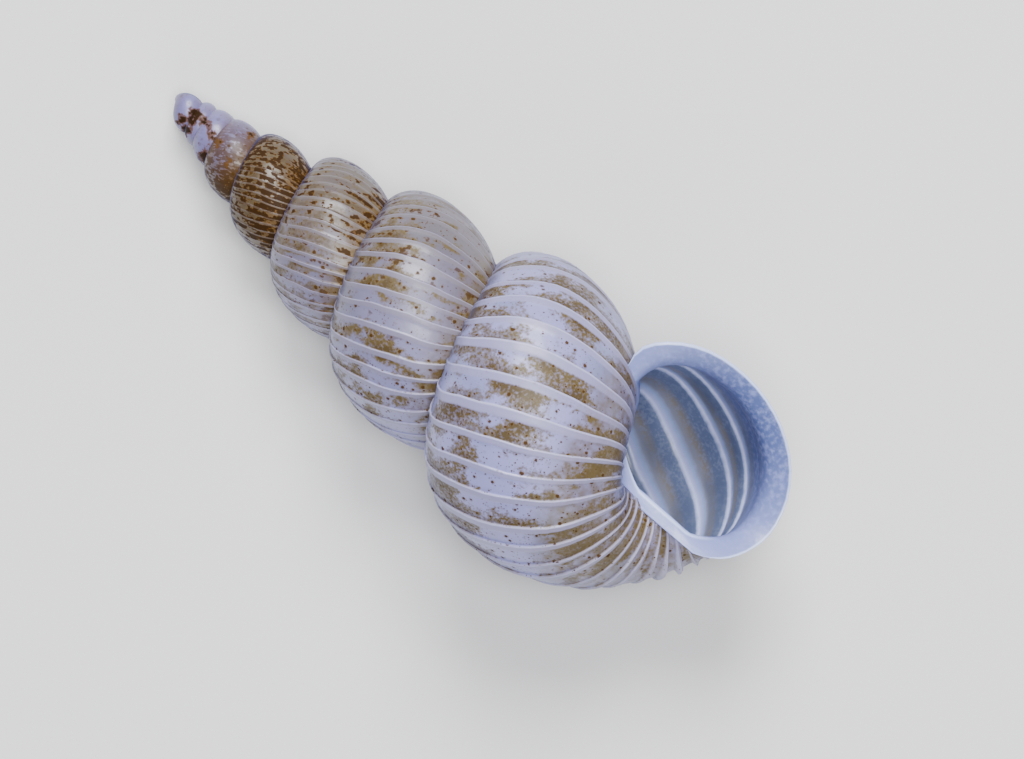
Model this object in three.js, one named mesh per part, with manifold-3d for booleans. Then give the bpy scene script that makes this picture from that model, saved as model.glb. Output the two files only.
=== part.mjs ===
// A closely ribbed wentletrap shell, lying on its back with its mouth up.
// Millimetres. +X runs down the spire from the tip to the base, +Y points to the side
// that the mouth is on, +Z is up, and the shell rests on two small flats at z = 0.
//
// The shell is one tube that winds around an axis and widens as it goes. A place on it is
// a turn, which counts whorls back from the lip at 0, and an angle around the tube's
// section: 0 faces outwards, -90 degrees faces the tip and +90 degrees faces the base.
import * as THREE from 'three';
import Module from 'manifold-3d';

const wasm = await Module();
wasm.setup();

// ---- driving dimensions -------------------------------------------------------------

// One row per whorl: how far down the axis and out from it the section's centre lies, its
// half width and half height, its lean in degrees, and the small sideways drift of the spire.
const WHORLS = [
  { turn: -8, down: 0.067, out: 0.005, halfWide: 0.06, halfTall: 0.064, lean: 0, drift: 0.004 },
  { turn: -7, down: 0.13, out: 0.038, halfWide: 0.076, halfTall: 0.069, lean: 4, drift: -0.005 },
  { turn: -6, down: 0.222, out: 0.056, halfWide: 0.08, halfTall: 0.102, lean: 8, drift: -0.008 },
  { turn: -5, down: 0.376, out: 0.077, halfWide: 0.097, halfTall: 0.151, lean: 10, drift: -0.019 },
  { turn: -4, down: 0.634, out: 0.119, halfWide: 0.131, halfTall: 0.222, lean: 12, drift: -0.028 },
  { turn: -3, down: 1.06, out: 0.167, halfWide: 0.195, halfTall: 0.321, lean: 14, drift: -0.007 },
  { turn: -2, down: 1.607, out: 0.232, halfWide: 0.286, halfTall: 0.442, lean: 16, drift: -0.003 },
  { turn: -1, down: 2.386, out: 0.306, halfWide: 0.366, halfTall: 0.547, lean: 18, drift: 0.01 },
  { turn: 0, down: 3.319, out: 0.366, halfWide: 0.44, halfTall: 0.612, lean: 20, drift: 0 },
];

const MOUTH_FACING = 3.3;        // degrees that the lip's outer side is turned up from +Y
const RIB_LEAN = 0.045;          // turns by which a rib runs ahead on top and lags at the base
const RIB_HOOK = 0.038;          // the same again, but only near its two ends
const RIB_BOW = 0.014;           // turns by which both ends of a rib lag behind its middle
const AXIS_SLOPE = 13.3;         // degrees that the axis rises from the tip to the base

const RIBS_PER_TURN_AT_LIP = 22.5;
const RIB_CROWDING = 3.5;        // how fast the ribs crowd together towards the tip
const FIRST_RIB_TURN = -3.85;    // older whorls are smooth
const RIB_HEIGHT = 0.017;        // at the lip, and in proportion to the whorl before it
const RIB_FOOT = 0.2;            // half a rib's foot, as a share of the ribs' spacing
const BLADE_RIBS_FROM = -2.0;    // ribs before this turn are drawn as plain ridges

const WALL = 0.07;
const LIP_EDGE = 0.022;          // thickness of the lip's outermost edge
const LIP_SWELL = 0.035;         // extra thickness of the wall a little behind the lip
const LIP_SWELL_REACH = 0.06;    // turns behind the lip at which that thickness is nearly gone
const LIP_FLARE = 0.03;          // how far the lip turns outwards
const LIP_FLARE_ON_TOP = 0.05;   // further flare on the side that faces the spire
const LIP_DEPTH = 0.02;          // turns over which the flare dies away
const CAVITY_FROM = -1.8;        // the hollow narrows to its end at this turn
const PARIETAL_GLAZE = 0.012;    // thickness laid over the older whorl inside the mouth

const PILLAR_SHARE = 0.55;       // the pillar on the axis, as a share of the half width
const PILLAR_FOOT_SHARE = 0.12;  // the same at its foot, beside the mouth
const PILLAR_TAPER = { from: -0.75, to: -0.3 };
const KEEP_OFF_SHARE = 0.06;     // how near the skin comes to the axis, inside the pillar
const CAVITY_KEEP_OFF = 0.05;    // how near the hollow comes to the axis
const TIP_DOME = { radius: 0.1, down: 0.056 };
const FLAT_DEPTH = 0.048;        // taken off the underside to rest on

const SMOOTH_COLUMNS_PER_TURN = 12;
const CAVITY_COLUMNS_PER_TURN = 12;
const PIECE_TURNS = 0.22;        // the tube is joined from pieces at least this long
const CLEAR_TURNS = 0.5;         // pieces further apart than this touch only from whorl to whorl
const OUTSIDE_ANGLES = [-132, -106, -83, -61, -39, -17, 5, 27, 49, 72, 100, 138, -170];
const INSIDE_ANGLES = [-120, -90, -60, -30, 0, 30, 60, 90, 120, 150, 180, -150];

const LEAST_DETAIL = 0.002;      // edges and steps smaller than this are smoothed away
const CUT_BOX = 8;               // side of the box that cuts the flats
const SAME_POINT = 1e-5;         // corners closer than this are one corner

const COLOUR = 0xd9d5d2;

// ---- the growing tube ---------------------------------------------------------------

/** Catmull-Rom value of one column of WHORLS at a turn. */
function grown(key, turn) {
  const last = WHORLS.length - 1;
  const start = Math.min(Math.max(Math.floor(turn - WHORLS[0].turn), 0), last - 1);
  const at = (index) => WHORLS[Math.min(Math.max(index, 0), last)][key];
  const t = turn - WHORLS[start].turn;
  const from = at(start);
  const to = at(start + 1);
  const slopeFrom = start === 0 ? to - from : (to - at(start - 1)) / 2;
  const slopeTo = start + 1 === last ? to - from : (at(start + 2) - from) / 2;
  const cubic = (2 * (from - to) + slopeFrom + slopeTo) * t;
  const square = 3 * (to - from) - 2 * slopeFrom - slopeTo;
  return ((cubic + square) * t + slopeFrom) * t + from;
}

/** Turns by which a growth line runs ahead at an angle of the section. */
function runAhead(angle) {
  const tall = Math.sin(angle);
  return -RIB_LEAN * tall - RIB_BOW * tall ** 2 - RIB_HOOK * tall ** 3;
}

/** A point of the tube's skin, moved outwards by `raise` and no nearer the axis than `leastRadius`. */
function skinPoint(turn, degrees, raise, leastRadius) {
  const angle = THREE.MathUtils.degToRad(degrees);
  const place = turn + runAhead(angle);
  const lean = THREE.MathUtils.degToRad(grown('lean', place));
  const wide = (grown('halfWide', place) + raise) * Math.cos(angle);
  const tall = (grown('halfTall', place) + raise) * Math.sin(angle);
  const out = grown('out', place) + wide * Math.cos(lean) - tall * Math.sin(lean);
  const down = grown('down', place) + wide * Math.sin(lean) + tall * Math.cos(lean);
  const radius = Math.max(out, leastRadius);
  const around = 2 * Math.PI * place + THREE.MathUtils.degToRad(MOUTH_FACING);
  return new THREE.Vector3(
    down,
    radius * Math.cos(around) + grown('drift', place),
    radius * Math.sin(around),
  );
}

/** Flare of the lip at a turn and angle: nothing a short way behind the lip. */
function flare(turn, degrees) {
  const ahead = Math.exp(Math.min(turn, 0) / LIP_DEPTH);
  const onTop = Math.max(0, -Math.sin(THREE.MathUtils.degToRad(degrees + 25)));
  return ahead * (LIP_FLARE + LIP_FLARE_ON_TOP * onTop);
}

/** Turn at which a rib stands; ribs count 0 at the lip, -1 behind it, and so on. */
function ribTurn(rib) {
  const root = Math.sqrt(RIBS_PER_TURN_AT_LIP ** 2 - 4 * RIB_CROWDING * rib);
  return (RIBS_PER_TURN_AT_LIP - root) / (2 * RIB_CROWDING);
}

/** Size of the whorl at a turn, as a share of its size at the lip. */
function share(turn) {
  return grown('halfWide', turn) / grown('halfWide', 0);
}

/** Columns of the outside from the tip to the lip, each with its turn and its raise. */
function outsideColumns() {
  const columns = [];
  for (let turn = -7.4; turn < FIRST_RIB_TURN - 0.04; turn += 1 / SMOOTH_COLUMNS_PER_TURN) {
    columns.push({ turn, raise: 0 });
  }
  let rib = -1;
  while (ribTurn(rib) > FIRST_RIB_TURN) rib -= 1;
  for (rib += 1; rib < 0; rib += 1) {
    const turn = ribTurn(rib);
    const foot = turn > BLADE_RIBS_FROM ? RIB_FOOT : 0.5;
    columns.push({ turn: ribTurn(rib - foot), raise: 0 });
    columns.push({ turn, raise: RIB_HEIGHT * share(turn) });
    if (foot < 0.5) columns.push({ turn: ribTurn(rib + foot), raise: 0 });
  }
  [ribTurn(-0.5), -0.008, 0].forEach((turn) => columns.push({ turn, raise: 0 }));
  return columns;
}

/** Columns of a smooth tube between two turns. */
function smoothColumns(fromTurn, toTurn, perTurn) {
  const count = Math.ceil((toTurn - fromTurn) * perTurn);
  return Array.from({ length: count + 1 }, (_, i) => (
    { turn: fromTurn + ((toTurn - fromTurn) * i) / count, raise: 0 }
  ));
}

/** Cuts a run of columns into pieces that share their end columns. */
function pieces(columns) {
  const runs = [];
  let run = [columns[0]];
  columns.slice(1).forEach((column, i) => {
    run.push(column);
    const long = column.turn - run[0].turn >= PIECE_TURNS;
    const left = columns.at(-1).turn - column.turn;
    const isLast = i === columns.length - 2;
    if (isLast || (long && column.raise === 0 && left > PIECE_TURNS / 2)) {
      runs.push(run);
      run = [column];
    }
  });
  return runs;
}

// ---- closed meshes ------------------------------------------------------------------

/** Solid from points and outward triangles. */
function solidFrom(points, triangles) {
  const vertProperties = new Float32Array(points.flatMap((p) => [p.x, p.y, p.z]));
  const triVerts = new Uint32Array(triangles.flat());
  return new wasm.Manifold(new wasm.Mesh({ numProp: 3, vertProperties, triVerts }));
}

/** Solid piece of tube: one ring of points per column, closed by a fan at each end. */
function tubePiece(columns, angles, pointAt) {
  const points = [];
  const triangles = [];
  columns.forEach((column) => angles.forEach((angle) => points.push(pointAt(column, angle))));
  const ring = angles.length;
  for (let c = 0; c < columns.length - 1; c += 1) {
    for (let r = 0; r < ring; r += 1) {
      const next = (r + 1) % ring;
      const near = c * ring;
      const far = near + ring;
      triangles.push([near + r, far + next, near + next], [near + r, far + r, far + next]);
    }
  }
  [0, (columns.length - 1) * ring].forEach((start, end) => {
    const middle = new THREE.Vector3();
    points.slice(start, start + ring).forEach((point) => middle.add(point));
    points.push(middle.divideScalar(ring));
    const centre = points.length - 1;
    for (let r = 0; r < ring; r += 1) {
      const next = (r + 1) % ring;
      const edge = [start + r, start + next];
      triangles.push(end === 0 ? [centre, ...edge] : [centre, edge[1], edge[0]]);
    }
  });
  return solidFrom(points, triangles);
}

/** Solid from a closed three.js geometry, with its doubled vertices merged. */
function solidFromGeometry(geometry) {
  const position = geometry.getAttribute('position');
  const index = geometry.getIndex();
  const points = [];
  const seen = new Map();
  const corner = (i) => {
    const point = new THREE.Vector3().fromBufferAttribute(position, i);
    const key = point.toArray().map((value) => Math.round(value / SAME_POINT)).join(' ');
    if (!seen.has(key)) {
      seen.set(key, points.length);
      points.push(point);
    }
    return seen.get(key);
  };
  const triangles = [];
  for (let i = 0; i < index.count; i += 3) {
    const triangle = [0, 1, 2].map((k) => corner(index.getX(i + k)));
    if (new Set(triangle).size === 3) triangles.push(triangle);
  }
  return solidFrom(points, triangles);
}

// ---- the shell ----------------------------------------------------------------------

/** Radius of the pillar that fills the middle between the whorls. */
function pillarRadius(turn) {
  const taper = THREE.MathUtils.smoothstep(turn, PILLAR_TAPER.from, PILLAR_TAPER.to);
  return THREE.MathUtils.lerp(PILLAR_SHARE, PILLAR_FOOT_SHARE, taper) * grown('halfWide', turn);
}

/** Least distance of the outer skin from the axis, inside the pillar. */
function keepOff(turn) {
  return KEEP_OFF_SHARE * grown('halfWide', turn);
}

function outsidePoint(column, angle) {
  const raise = column.raise + flare(column.turn, angle);
  return skinPoint(column.turn, angle, raise, keepOff(column.turn));
}

function glazedPoint(column, angle) {
  const raise = RIB_HEIGHT * share(column.turn) + PARIETAL_GLAZE;
  return skinPoint(column.turn, angle, raise, keepOff(column.turn));
}

/** Thickness of the wall, which swells behind the lip and thins to the lip's edge. */
function wallAt(turn) {
  const ahead = Math.exp(Math.min(turn, 0) / LIP_DEPTH);
  const swell = LIP_SWELL * Math.exp(-((turn / LIP_SWELL_REACH) ** 2));
  return THREE.MathUtils.lerp(WALL * Math.sqrt(share(turn)) + swell, LIP_EDGE, ahead);
}

function insidePoint(column, angle) {
  const raise = flare(column.turn, angle) - wallAt(column.turn);
  return skinPoint(column.turn, angle, raise, CAVITY_KEEP_OFF);
}

/** The pillar that the whorls wind around. */
function pillar() {
  const profile = smoothColumns(-7, -0.3, 4).map(({ turn }) => (
    new THREE.Vector2(pillarRadius(turn), grown('down', turn))
  ));
  const ends = [new THREE.Vector2(0, profile[0].y), new THREE.Vector2(0, profile.at(-1).y)];
  const lathe = new THREE.LatheGeometry([ends[0], ...profile, ends[1]], 8);
  lathe.rotateZ(-Math.PI / 2);
  return solidFromGeometry(lathe);
}

/** Rounded first whorl at the tip. */
function tipDome() {
  const ball = new THREE.SphereGeometry(TIP_DOME.radius, 12, 9);
  ball.rotateZ(Math.PI / 2);
  ball.translate(TIP_DOME.down, grown('drift', -8), 0);
  return solidFromGeometry(ball);
}

/** Everything inside the outer skin, as one solid. */
function filledShell() {
  const tube = pieces(outsideColumns()).map((run) => tubePiece(run, OUTSIDE_ANGLES, outsidePoint));
  return wasm.Manifold.union([...tube, pillar(), tipDome()]);
}

/** The hollow that the animal lived in, clear of the older whorls that it passes. */
function cavity() {
  const deep = smoothColumns(CAVITY_FROM, -0.14, CAVITY_COLUMNS_PER_TURN);
  const throat = [-0.1, -0.06, -0.035, -0.02, -0.008, 0, 0.05].map((turn) => ({ turn, raise: 0 }));
  const inside = pieces([...deep, ...throat]);
  const older = pieces(smoothColumns(CAVITY_FROM - 1.3, -0.3, CAVITY_COLUMNS_PER_TURN));
  const parts = inside.map((run) => {
    const behind = older.filter((other) => other.at(-1).turn <= run[0].turn - CLEAR_TURNS);
    const glaze = behind.map((other) => tubePiece(other, INSIDE_ANGLES, glazedPoint));
    return tubePiece(run, INSIDE_ANGLES, insidePoint).subtract(wasm.Manifold.union(glaze));
  });
  return wasm.Manifold.union(parts);
}

/** The largest of a solid's separate bodies, without slivers that the cuts leave behind. */
function largestBody(solid) {
  const bodies = solid.decompose();
  return bodies.reduce((best, body) => (body.volume() > best.volume() ? body : best));
}

/** Mesh geometry of a solid. */
function geometryFrom(solid) {
  const mesh = solid.getMesh();
  const geometry = new THREE.BufferGeometry();
  geometry.setAttribute('position', new THREE.BufferAttribute(mesh.vertProperties.slice(), 3));
  geometry.setIndex(new THREE.BufferAttribute(mesh.triVerts.slice(), 1));
  return geometry;
}

/** Box that takes a thin slice off the underside of a laid-down geometry. */
function restingCut(geometry) {
  geometry.computeBoundingBox();
  const { min } = geometry.boundingBox;
  const box = new THREE.BoxGeometry(CUT_BOX, CUT_BOX, CUT_BOX);
  box.translate(CUT_BOX / 4, 0, min.z + FLAT_DEPTH - CUT_BOX / 2);
  return solidFromGeometry(box);
}

/** The finished shell, centred on the spot that it rests on. */
function shellGeometry() {
  const shell = largestBody(filledShell().subtract(cavity()).simplify(LEAST_DETAIL));
  const laid = geometryFrom(shell);
  laid.rotateY(THREE.MathUtils.degToRad(-AXIS_SLOPE));
  const rested = geometryFrom(solidFromGeometry(laid).subtract(restingCut(laid)));
  rested.computeBoundingBox();
  const { min, max } = rested.boundingBox;
  rested.translate(-(min.x + max.x) / 2, -(min.y + max.y) / 2, -min.z);
  rested.computeVertexNormals();
  return rested;
}

const material = new THREE.MeshStandardMaterial({ color: COLOUR, roughness: 0.38, metalness: 0 });
const shell = new THREE.Mesh(shellGeometry(), material);
shell.name = 'shell';

const group = new THREE.Group();
group.name = 'wentletrap_shell';
group.add(shell);

export default group;
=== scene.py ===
"""A closely ribbed wentletrap shell, lying on its back with its mouth up.

The shell is one tube that winds around an axis and widens as it goes. A place on it is a
turn, which counts whorls back from the lip at 0, and an angle around the tube's section:
0 faces outwards, -90 degrees faces the tip and +90 degrees faces the base. A plain sheet
holds these two numbers for every vertex, and a Geometry Nodes tree winds the sheet up.
Lengths in the tree are millimetres, and its last step turns them into metres.
"""

import logging
import math
import random
from dataclasses import dataclass, field
from enum import Enum

import bpy
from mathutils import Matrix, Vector


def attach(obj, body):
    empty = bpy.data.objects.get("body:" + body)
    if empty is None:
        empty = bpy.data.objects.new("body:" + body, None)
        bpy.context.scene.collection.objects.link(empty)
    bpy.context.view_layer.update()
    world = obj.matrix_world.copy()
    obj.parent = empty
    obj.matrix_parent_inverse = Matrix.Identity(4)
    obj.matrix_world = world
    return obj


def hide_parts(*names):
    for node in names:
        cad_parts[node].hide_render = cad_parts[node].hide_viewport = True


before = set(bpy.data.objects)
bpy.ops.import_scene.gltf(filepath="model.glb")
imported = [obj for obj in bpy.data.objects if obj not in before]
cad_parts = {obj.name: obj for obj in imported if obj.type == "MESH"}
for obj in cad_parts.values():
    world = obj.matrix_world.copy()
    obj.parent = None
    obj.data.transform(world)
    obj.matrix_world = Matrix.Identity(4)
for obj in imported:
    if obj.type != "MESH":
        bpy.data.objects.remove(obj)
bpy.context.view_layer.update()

LOG = logging.getLogger("wentletrap")
MILLIMETRE = 0.001

Range = tuple[float, float]
Socket = bpy.types.NodeSocket


def in_scene(name: str, data: bpy.types.ID) -> bpy.types.Object:
    """Adds an object to the scene.

    Args:
        name: its name.
        data: its mesh, light or camera.

    Returns:
        The object.
    """
    thing = bpy.data.objects.new(name, data)
    bpy.context.scene.collection.objects.link(thing)
    return thing


def held(value: float) -> float:
    """The number, held between 0 and 1."""
    return min(1.0, max(0.0, value))


class Slot(Enum):
    """Material slots of the record."""

    SHELL = "shell"


class Attribute(Enum):
    """Names of the numbers that every vertex of the shell carries."""

    TURN = "turn"
    ANGLE = "angle"
    RIB = "rib"
    RIDGE = "ridge"
    LIFT = "lift"
    INSIDE = "inside"
    SPREAD = "spread"
    SECTION = "section"
    SUTURE = "suture"
    SPOT = "spot"
    AXIS = "axis"


# ---- the rule that the shell grows by -------------------------------------------------


@dataclass(frozen=True)
class Whorl:
    """Section of the tube after a number of whole turns, in millimetres and degrees."""

    turn: float
    down: float
    out: float
    half_wide: float
    half_tall: float
    lean: float
    drift: float

    def mirrored_in(self, inner: "Whorl") -> "Whorl":
        """Whorl that continues the table past its end in a straight line.

        Args:
            inner: the row on the other side of this one.

        Returns:
            The row beyond this one.
        """
        names = self.__dataclass_fields__
        values = {name: 2 * getattr(self, name) - getattr(inner, name) for name in names}
        return Whorl(**values)


@dataclass(frozen=True)
class Growth:
    """How the tube widens and moves along its axis, and how its ribs lean."""

    whorls: tuple[Whorl, ...] = (
        Whorl(-8, 0.006, 0.0, 0.1, 0.1, 0, 0.004),
        Whorl(-7, 0.112, 0.038, 0.076, 0.069, 4, -0.005),
        Whorl(-6, 0.222, 0.056, 0.08, 0.102, 8, -0.008),
        Whorl(-5, 0.376, 0.077, 0.097, 0.151, 10, -0.019),
        Whorl(-4, 0.634, 0.119, 0.131, 0.222, 12, -0.028),
        Whorl(-3, 1.06, 0.167, 0.195, 0.321, 14, -0.007),
        Whorl(-2, 1.607, 0.232, 0.286, 0.442, 16, -0.003),
        Whorl(-1, 2.386, 0.306, 0.366, 0.547, 18, 0.01),
        Whorl(0, 3.319, 0.366, 0.44, 0.612, 20, 0),
    )
    mouth_facing: float = 3.3
    axis_slope: float = 13.3
    lean: float = 0.045
    bow: float = 0.014
    hook: float = 0.038
    shift: tuple[float, float, float] = (-1.86889, -0.04243, 0.14579)

    def table(self) -> bpy.types.Object:
        """Makes an object whose vertices hold the rows, with one more row past each end.

        Returns:
            The object, with down, out and drift as its vertices' places.
        """
        rows = list(self.whorls)
        rows.insert(0, rows[0].mirrored_in(rows[1]))
        rows.append(rows[-1].mirrored_in(rows[-2]))
        mesh = bpy.data.meshes.new("growth_table")
        mesh.from_pydata([(row.down, row.out, row.drift) for row in rows], [], [])
        section = mesh.attributes.new(Attribute.SECTION.value, "FLOAT_VECTOR", "POINT")
        for row, value in zip(rows, section.data, strict=True):
            value.vector = (row.half_wide, row.half_tall, math.radians(row.lean))
        return in_scene("growth_table", mesh)


@dataclass(frozen=True)
class RibLaw:
    """Where the ribs stand. Ribs count 0 at the lip, -1 behind it, and so on."""

    per_turn_at_lip: float = 22.5
    crowding: float = 3.5
    first_turn: float = -3.85
    last: int = -1
    unevenness: float = 0.14
    seed: int = 11
    rib_seed: int = 7919
    purpose_seed: int = 104729

    def number(self, turn: float) -> float:
        """Number of the rib at a turn, with its fraction."""
        return self.per_turn_at_lip * turn - self.crowding * turn * turn

    def turn(self, number: float) -> float:
        """Turn at which a rib stands if the ribs are even."""
        root = math.sqrt(self.per_turn_at_lip**2 - 4 * self.crowding * number)
        return (self.per_turn_at_lip - root) / (2 * self.crowding)

    def chance(self, number: int, purpose: int) -> float:
        """Random number that belongs to a rib and a purpose.

        Args:
            number: the rib's number.
            purpose: what it is drawn for: 0 its place, 1 its width, 2 its height.

        Returns:
            The number, from -1 to 1.
        """
        seed = self.seed + self.rib_seed * number + self.purpose_seed * purpose
        return random.Random(seed).uniform(-1, 1)

    def uneven_turn(self, number: float) -> float:
        """Turn at which a rib stands, with its own small error.

        Args:
            number: the rib's number, with its fraction.

        Returns:
            The turn, which still grows with the number.
        """
        before = math.floor(number)
        share = number - before
        error = (1 - share) * self.chance(before, 0) + share * self.chance(before + 1, 0)
        fade = held(-number / 2)
        return self.turn(number + self.unevenness * error * fade)


# ---- the sheet that the tree winds up -------------------------------------------------


@dataclass(frozen=True)
class Column:
    """One line of vertices across the sheet, which becomes a ring of the tube."""

    turn: float
    rib: float
    ridge: float = 0.0
    lift: float = 0.0
    inside: float = 0.0
    spread: float = 1.0


@dataclass(frozen=True)
class Sheet:
    """Columns and rows of the sheet before it is wound up."""

    ribs: RibLaw
    tip_turn: float = -7.9
    tip_columns_per_turn: int = 30
    wide_stops: tuple[Range, ...] = (
        (0.0, -0.025), (0.02, 0.015), (0.06, 0.055), (0.12, 0.11), (0.17, 0.17), (0.22, 0.22),
        (0.27, 0.27), (0.32, 0.32), (0.4, 0.4), (0.6, 0.6), (0.75, 0.75), (0.88, 0.87),
        (0.955, 0.94), (0.985, 0.97),
    )
    close_stops: tuple[Range, ...] = (
        (0.0, -0.02), (0.03, 0.03), (0.12, 0.12), (0.22, 0.22), (0.32, 0.32), (0.42, 0.42),
        (0.6, 0.6), (0.8, 0.79), (0.93, 0.92), (0.985, 0.965),
    )
    tight_stops: tuple[Range, ...] = (
        (0.0, 0.0), (0.08, 0.08), (0.2, 0.2), (0.35, 0.35), (0.55, 0.55), (0.8, 0.8),
        (0.95, 0.95),
    )
    wide_from: float = -1.15
    close_from: float = -2.6
    rib_share: float = 0.3
    width_spread: float = 0.22
    height_spread: float = 0.25
    faded_ribs: int = 4
    last_phase: float = 0.4
    lip: tuple[tuple[float, float, float], ...] = (
        (-0.024, 0.001, 0.0), (-0.017, 0.006, 0.0), (-0.011, 0.014, 0.0), (-0.006, 0.023, 0.0),
        (-0.002, 0.03, 0.0), (0.001, 0.033, 0.0), (0.0028, 0.031, 0.02), (0.0036, 0.026, 0.05),
        (0.0034, 0.016, 0.1), (0.0026, 0.002, 0.15), (0.001, -0.016, 0.22), (-0.001, -0.036, 0.3),
        (-0.0035, -0.056, 0.4), (-0.007, -0.074, 0.5), (-0.012, -0.088, 0.62),
        (-0.019, -0.096, 0.75), (-0.028, -0.099, 0.88), (-0.04, -0.097, 1.0),
    )
    inside_lift: float = -0.095
    inside_wall: float = -0.06
    inside_settle: float = 0.12
    settle_from: float = -0.04
    ridges_from: float = -0.05
    ridges_rise: float = 0.05
    inside_stops: tuple[float, ...] = (0.0, 0.06, 0.14, 0.25, 0.4, 0.6, 0.8, 0.9, 0.95)
    inner_ridges: tuple[float, ...] = (-0.04, -0.106, -0.147, -0.206, -0.258)
    inner_spacing: float = 0.046
    inside_end: float = -0.95
    inside_close: float = 0.12
    late_angles: tuple[tuple[float, int], ...] = (
        (-175, 0), (-115, 7), (60, 24), (150, 14), (185, 8),
    )
    early_angles: tuple[tuple[float, int], ...] = (
        (-175, 0), (-120, 3), (60, 43), (110, 5), (185, 2),
    )
    early_before: float = -1.3
    late_after: float = -0.9

    def angle_list(self, stops: tuple[tuple[float, int], ...]) -> list[float]:
        """Angles of the rows, each stop giving how many rows lead up to it.

        Args:
            stops: angles in degrees with the number of equal steps before each.

        Returns:
            The angles in radians, one for each row.
        """
        angles = []
        for (start, _), (end, count) in zip(stops, stops[1:], strict=False):
            angles += [math.radians(start + (end - start) * k / count) for k in range(count)]
        return angles

    def rib_columns(self) -> list[Column]:
        """Columns of the outside from the first rib to the last.

        Returns:
            The columns, from old to new.
        """
        columns = []
        first = math.ceil(self.ribs.number(self.ribs.first_turn))
        for rib in range(first, self.ribs.last + 1):
            turn = self.ribs.turn(rib)
            stops = self.tight_stops
            if turn > self.close_from:
                stops = self.close_stops
            if turn > self.wide_from:
                stops = self.wide_stops
            width = 1 + self.width_spread * self.ribs.chance(rib, 1)
            height = 1 + self.height_spread * self.ribs.chance(rib, 2)
            height *= min(1.0, (rib - first + 1) / self.faded_ribs)
            for phase, place in stops:
                if rib == self.ribs.last and phase > self.last_phase:
                    break
                turn = self.ribs.uneven_turn(rib + self.widened(place, width))
                columns.append(Column(turn, rib + phase, height))
        return columns

    def widened(self, place: float, width: float) -> float:
        """Place on a rib and its gap once the rib is widened and the gap narrowed.

        Args:
            place: the place, as a share of the way to the next rib.
            width: the rib's width, as a share of the usual width.

        Returns:
            The new place.
        """
        rib = self.rib_share
        if place < rib:
            return place * width
        return place + rib * (width - 1) * (1 - place) / (1 - rib)

    def inside_columns(self) -> list[Column]:
        """Columns of the inside from the lip to its closed end.

        Returns:
            The columns, from new to old.
        """
        ridges = list(self.inner_ridges)
        while ridges[-1] > self.inside_end:
            ridges.append(ridges[-1] - self.inner_spacing)
        columns = []
        for number, (newer, older) in enumerate(zip(ridges, ridges[1:], strict=False), 1):
            for phase in reversed(self.inside_stops):
                turn = older + (newer - older) * phase
                settled = held((self.settle_from - turn) / self.inside_settle)
                lift = self.inside_lift + (self.inside_wall - self.inside_lift) * settled
                left = max(0.0, (turn - self.inside_end) / self.inside_close)
                spread = math.sin(math.pi / 2 * min(1.0, left))
                if spread > 0:
                    ridge = held((self.ridges_from - turn) / self.ridges_rise)
                    columns.append(Column(turn, phase - number, ridge, lift * spread, 1.0, spread))
        return columns

    def columns(self) -> list[Column]:
        """All columns from the tip over the lip to the inner end.

        Returns:
            The columns in their order along the sheet.
        """
        ribbed = self.rib_columns()
        count = round((ribbed[0].turn - self.tip_turn) * self.tip_columns_per_turn)
        step = (ribbed[0].turn - self.tip_turn) / count
        tip = [self.tip_turn + k * step for k in range(count)]
        smooth = [Column(turn, self.ribs.number(turn)) for turn in tip]
        lip = [
            Column(turn, self.ribs.number(turn), 0.0, lift, inside)
            for turn, lift, inside in self.lip
        ]
        return smooth + ribbed + lip + self.inside_columns()

    def records(self, columns: list[Column]) -> list[tuple[Column, float]]:
        """Vertices of the sheet, row by row, and one more at each end.

        Args:
            columns: the columns, from the tip to the inner end.

        Returns:
            For each vertex its column and its angle.
        """
        late, early = self.angle_list(self.late_angles), self.angle_list(self.early_angles)
        records = []
        for column in columns:
            share = held((column.turn - self.early_before) / (self.late_after - self.early_before))
            share = share * share * (3 - 2 * share)
            records += [(column, a + (b - a) * share) for a, b in zip(early, late, strict=True)]
        for end in (columns[0], columns[-1]):
            records.append((Column(end.turn, end.rib, 0, 0, end.inside, 0.0), 0.0))
        return records

    def faces(self, count: int, rows: int) -> list[tuple[int, ...]]:
        """Faces of the sheet, which join its first row to its last and close both its ends.

        Args:
            count: number of columns.
            rows: number of rows.

        Returns:
            The faces, as numbers of their vertices.
        """
        tip, inner, last = count * rows, count * rows + 1, (count - 1) * rows
        steps = [(r, (r + 1) % rows) for r in range(rows)]
        faces: list[tuple[int, ...]] = []
        for near in range(0, last, rows):
            far = near + rows
            faces += [(near + r, far + r, far + after, near + after) for r, after in steps]
        for r, after in steps:
            faces += [(tip, r, after), (inner, last + after, last + r)]
        return faces

    def build(self) -> bpy.types.Object:
        """Makes the sheet, closed into a sleeve with a single vertex at each end.

        Returns:
            The object, with its attributes and UV map.
        """
        columns = self.columns()
        records = self.records(columns)
        faces = self.faces(len(columns), len(records) // len(columns))
        mesh = bpy.data.meshes.new("sheet")
        mesh.from_pydata([(column.turn, angle, 0) for column, angle in records], [], faces)
        values = {
            name: [getattr(column, name.value) for column, _ in records]
            for name in Attribute if name.value in Column.__dataclass_fields__
        }
        values[Attribute.ANGLE] = [angle for _, angle in records]
        for name, numbers in values.items():
            mesh.attributes.new(name.value, "FLOAT", "POINT").data.foreach_set("value", numbers)
        uv = mesh.uv_layers.new(name="UVMap")
        for loop in mesh.loops:
            column, angle = records[loop.vertex_index]
            uv.data[loop.index].uv = (column.turn, angle / math.tau)
        LOG.info("sheet: %d columns, %d faces", len(columns), len(faces))
        return in_scene("sheet", mesh)


# ---- numbers written as nodes ---------------------------------------------------------


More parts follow.
